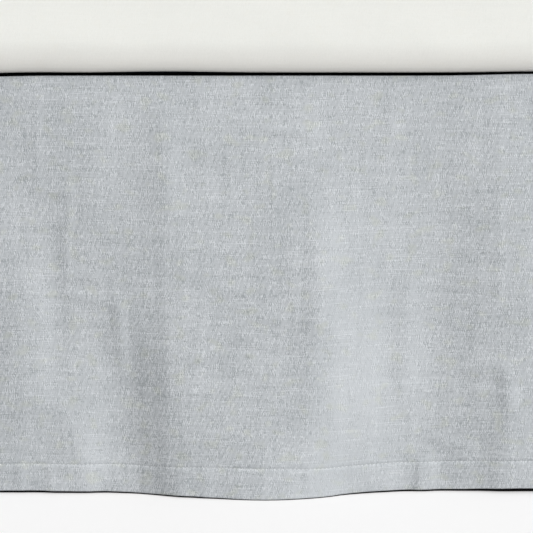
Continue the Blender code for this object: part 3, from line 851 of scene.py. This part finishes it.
near_places = column_places((-1.003, -0.262, 0.0055), (-0.262, 0.262, 0.0024), (0.262, 1.007, 0.0055))
near_creases = (*NEAR_CREASES, *packing_creases(11, 980, 46, (-255, 255)))
drops = (
    ("skirt_near", "skirt_drop_near", SIDE_FACE, (0, 1), NEAR_FOLDS, near_creases, near_edges, 2.0, 0.0,
     near_places, 0.0036, (0.41, 2.01)),
    ("skirt_far", "skirt_drop_far", SIDE_FACE, (1, 0), FAR_FOLDS, packing_creases(12, 980, 60),
     plain_edges, 32.0, pi, column_places((-1.007, 1.003, 0.0045)), 0.0055, (0.41, 2.01)),
    ("skirt_foot", "skirt_drop_foot", FOOT_FACE, (1, 1), FOOT_FOLDS, packing_creases(13, 730, 44),
     plain_edges, 62.0, pi / 2, column_places((-0.753, 0.753, 0.0045)), 0.005, (0.41, 1.506)),
)
hem_lines = []
for name, node, *cut, flat in drops:
    drop, sewn_on, hem_line = drop_piece(name, *cut, (linen, thread, painted_slit_shade))
    hem_lines.append(hem_line)
    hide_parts(node)

# ------------
# Mattress. Eleven inches of foam and springs in a white cotton percale fitted sheet. The sheet is cut from
# one piece with a dart at each corner, and elastic under the mattress pulls it tight over both edges.
MATTRESS_SIZE, MATTRESS_CORNER, MATTRESS_EDGE = (80 * INCH, 60 * INCH, 11 * INCH), 0.075, 0.022
MATTRESS_TUCK, MATTRESS_BOW, MATTRESS_BOTTOM = (0.0115, 0.03, 0.85), 0.0062, 0.3853
SHEET_PULL, TOP_PULL, LEVEL_TOLERANCE = 0.0006, 0.001, 1e-6
percale = cloth_material(
    "sheet_percale", (0.835, 0.84, 0.799, 1), (0.867, 0.872, 0.831, 1), (1.0, 0.99, 0.97, 0.3),
    (0.00035, 0.0007, 0.003, 0.02), wash=0.05, bump=(0.12, 0.0002),
    Roughness=0.75, Sheen_Weight=0.05, Specular_IOR_Level=0.3,
)
# The sheet's lower edge is painted a little warmer and darker: painted shade that stands for the warm shade
# where the sheet turns under the mattress.
tree = percale.node_tree
shader = tree.nodes["Principled BSDF"]
sheet_tone = shader.inputs["Base Color"].links[0].from_socket
down_cloth = axis_of(wire(tree, "ShaderNodeUVMap", uv_map="cloth_place").outputs[0], "Y")
painted_warm_shade = spread(down_cloth, 0.264, 0.284)
fill(shader, {"Base Color": blend(painted_warm_shade, sheet_tone, (1.0, 0.982, 0.982, 1), "MULTIPLY")})
long_shares = sorted({*(i / 130 for i in range(130)), *(0.5 + i * 0.003 for i in range(-48, 49))})
shares = long_shares, [i / 100 for i in range(100)]
points, normals, run, inset, down = soft_block(
    MATTRESS_SIZE, MATTRESS_CORNER, MATTRESS_EDGE, inner_rings=22, side_steps=22, edge_steps=12,
    shares=shares, corner_steps=44, under=MATTRESS_TUCK,
)
across_x, across_y, level = points[..., 0], points[..., 1], points[..., 2]
slack = ripples(run, level, (0.0016, 0.16, 0.11, 51.0), (0.0005, 0.05, 0.035, 57.0))
drawn = ripples(run, level, (0.00014, 0.22, 0.011, 65.0)) * bell(level - 0.02, 0.018)
slack = slack * np.clip((level - 0.002) / 0.03, 0, 1) + drawn - SHEET_PULL
top_waves = ripples(across_x, across_y, (0.0022, 0.28, 0.22, 71.0), (0.0007, 0.07, 0.09, 77.0))
fade = np.clip(inset / 0.05, 0, 1)
on_top = level >= MATTRESS_SIZE[2] - LEVEL_TOLERANCE
push = np.where(on_top, slack * (1 - fade) + (top_waves - TOP_PULL) * fade, slack)
# Around each corner: the dart's ridge, gathers that the elastic makes underneath, and slanting pulls.
corner_x, corner_y = (side / 2 - MATTRESS_CORNER * (1 - sqrt(0.5)) for side in MATTRESS_SIZE[:2])
off_x, off_y = abs(across_x) - corner_x, abs(across_y) - corner_y
round_corner, from_corner = (off_x - off_y) / sqrt(2), np.hypot(off_x, off_y)
dart_width, dart_reach, gathers_apart, gathers_high = 0.0032, 0.16, 0.026, 0.075
dart_rise, gathers_rise, pulls_rise = 0.0009, 0.0019, 0.0026
dart = bell(round_corner, dart_width) * np.exp(-((from_corner / dart_reach) ** 4))
gathers = np.cos(2 * pi * (round_corner / gathers_apart + 0.35 * ripple(run, level, 0.09, 0.2, 83.0)))
gathers *= np.exp(-level / gathers_high) * bell(from_corner, 0.1)
pulled = ripple(round_corner + 0.7 * level, level - 0.7 * round_corner, 0.3, 0.045, 89.0)
pulled *= bell(from_corner, 0.26) * np.clip(from_corner / 0.04, 0, 1)
below_top = level < MATTRESS_SIZE[2] - 0.001
push += dart_rise * dart + gathers_rise * gathers + pulls_rise * pulled * below_top
push = np.where(level <= LEVEL_TOLERANCE, 0.0, push)
points = points + normals * push[..., None]
# The lower edge lies higher in some places than in others, and the sides bow out a little.
across_x, across_y = points[..., 0], points[..., 1]
near_lift = ((-240, 16, -0.45), (-195, 25, 0.5), (-88, 50, 1.5), (250, 60, 1.9), (60, 400, 0.7))
other_lift = 0.0009 * (1 + ripple(across_x + across_y, level * 0, 0.21, 1, 61.0))
on_near_side = (across_y < 0) & (abs(across_x) < 0.9)
lifted = np.where(on_near_side, soft_bumps(across_x, *near_lift), other_lift)
points[..., 2] += lifted * np.exp(-level / 0.012) * np.exp(-inset / 0.03)
bowed = np.clip((MATTRESS_SIZE[2] - level) / 0.2, 0, 1)
bowed = MATTRESS_BOW * bowed * bowed * (3 - 2 * bowed)
points[..., 0] *= 1 + bowed / (MATTRESS_SIZE[0] / 2)
points[..., 1] *= 1 + bowed / (MATTRESS_SIZE[1] / 2)
mattress = soft_block_piece("mattress_in_sheet", points, MATTRESS_BOTTOM, [percale])
apart_on_cloth = (0, 2)
lay_cloth_map(mattress, run, down, panel=points.reshape(-1, 3)[:, :2] - apart_on_cloth)
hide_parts("mattress")

# ------------
# Room. A plain pale floor that meets an even white surround, and a long lens that looks slightly down at the
# middle of the near drop. One key light high on the right rakes across the skirt and frame. The mattress and
# the floor have their own from the same side, further off and less raking, which burns neither of them out.
FLOOR_GLOW, FLOOR_BOUNCE = 0.511, 0.2
# FLOOR_SHADE is the near-black base colour of the painted shade under the bed.
FLOOR_WHITE, FLOOR_DIM, FLOOR_SHADE = ((grey, grey, grey, 1) for grey in (0.45, 0.3, 0.05))
GLOW_COLOUR, NO_GLOW = (1, 0.99, 0.986, 1), (0, 0, 0, 1)
SURROUND_GLOW, SURROUND_LIGHT = 0.93, 0.265


def seen_by_camera(tree, otherwise=0, seen=1):
    """One value for what the camera sees, another for the light that reaches the rest of the room."""
    return spread(wire(tree, "ShaderNodeLightPath").outputs["Is Camera Ray"], 0, 1, otherwise, seen)


def floor_piece(name, paint_name, points):
    """A flat piece of glowing floor. Returns it, its paint's tree and its shader."""
    paint, tree, shader = finish_material(paint_name, Roughness=0.9, Specular_IOR_Level=0.0)
    fill(shader, {"Emission Strength": seen_by_camera(tree, FLOOR_BOUNCE, FLOOR_GLOW)})
    mesh = bpy.data.meshes.new(name)
    mesh.from_pydata(points, [], [tuple(range(len(points)))])
    mesh.materials.append(paint)
    return put_in_scene(name, mesh), tree, shader


corners = [(-40, -40, 0), (40, -40, 0), (40, 40, 0), (-40, 40, 0)]
floor, tree, shader = floor_piece("floor", "pale_floor", corners)
colour = blend(seen_by_camera(tree), FLOOR_DIM, FLOOR_WHITE)
fill(shader, {"Base Color": colour, "Emission Color": GLOW_COLOUR})

# Under the bed the floor is painted near black with no glow, as painted shade, which lightens towards the
# open head end.
rim = [(x, y, 0.0001) for line in (hem_lines[0], hem_lines[2], hem_lines[1]) for x, y in line]
shaded_floor, tree, shader = floor_piece("floor_under_bed", "floor_painted_shade_under_bed", rim)
past_head = spread(geometry(tree, "Position", "X"), -1.03, -0.65, 1, 0)
fill(shader, {"Base Color": blend(past_head, FLOOR_SHADE, FLOOR_WHITE)})
fill(shader, {"Emission Color": blend(past_head, NO_GLOW, GLOW_COLOUR)})

surround = bpy.data.worlds.new("white_surround")
surround.use_nodes = True
shown = seen_by_camera(surround.node_tree, SURROUND_LIGHT, SURROUND_GLOW)
fill(surround.node_tree.nodes["Background"], {"Color": (1, 1, 1, 1), "Strength": shown})
bpy.context.scene.world = surround


def aim(thing, place, direction):
    thing.location = place
    thing.rotation_euler = direction.to_track_quat("-Z", "Y").to_euler()


def soft_light(name, size, power, place, target, mattress_and_floor=None):
    """A round lamp. It can fall on mattress and floor alone (INCLUDE) or on all else (EXCLUDE)."""
    lamp = bpy.data.lights.new(name, "AREA")
    lamp.shape, lamp.size, lamp.energy = "DISK", size, power
    light = put_in_scene(name, lamp)
    aim(light, place, Vector(target) - Vector(place))
    light.visible_camera = False
    if mattress_and_floor:
        linked = bpy.data.collections.new(name + "_pieces")
        for piece in (mattress, floor, shaded_floor):
            linked.objects.link(piece)
        for link in linked.collection_objects:
            link.light_linking.link_state = mattress_and_floor
        light.light_linking.receiver_collection = linked


soft_light("raking_key", 3.84, 1422, (9.42, -5.14, 6.2), (0, -0.75, 0.2), "EXCLUDE")
soft_light("even_key", 7.68, 4164, (12.8, -12.75, 16.6), (0, -0.75, 0.2), "INCLUDE")
soft_light("front_fill", 4.2, 152, (0.0, -8.0, 2.3), (0, -0.75, 0.3))
soft_light("back_fill", 4.0, 250, (-3.5, 5.0, 2.6), (0, 0, 0.4))

LENS_DISTANCE, LOOK_DOWN, VIEW_WIDTH, SENSOR = 2.2, radians(14), 0.47333, 36
look_at = Vector((BED_MIDDLE_X, -SIDE_FACE - 0.004, 0.21205))
lens = bpy.data.cameras.new("camera")
lens.sensor_width = SENSOR
lens.lens = SENSOR * LENS_DISTANCE / VIEW_WIDTH
lens.clip_start, lens.clip_end = 0.05, 200
camera = put_in_scene("camera", lens)
back = Vector((0, -cos(LOOK_DOWN), sin(LOOK_DOWN)))
aim(camera, look_at + back * LENS_DISTANCE, -back)
bpy.context.scene.camera = camera
bpy.context.scene.view_settings.view_transform = "Standard"
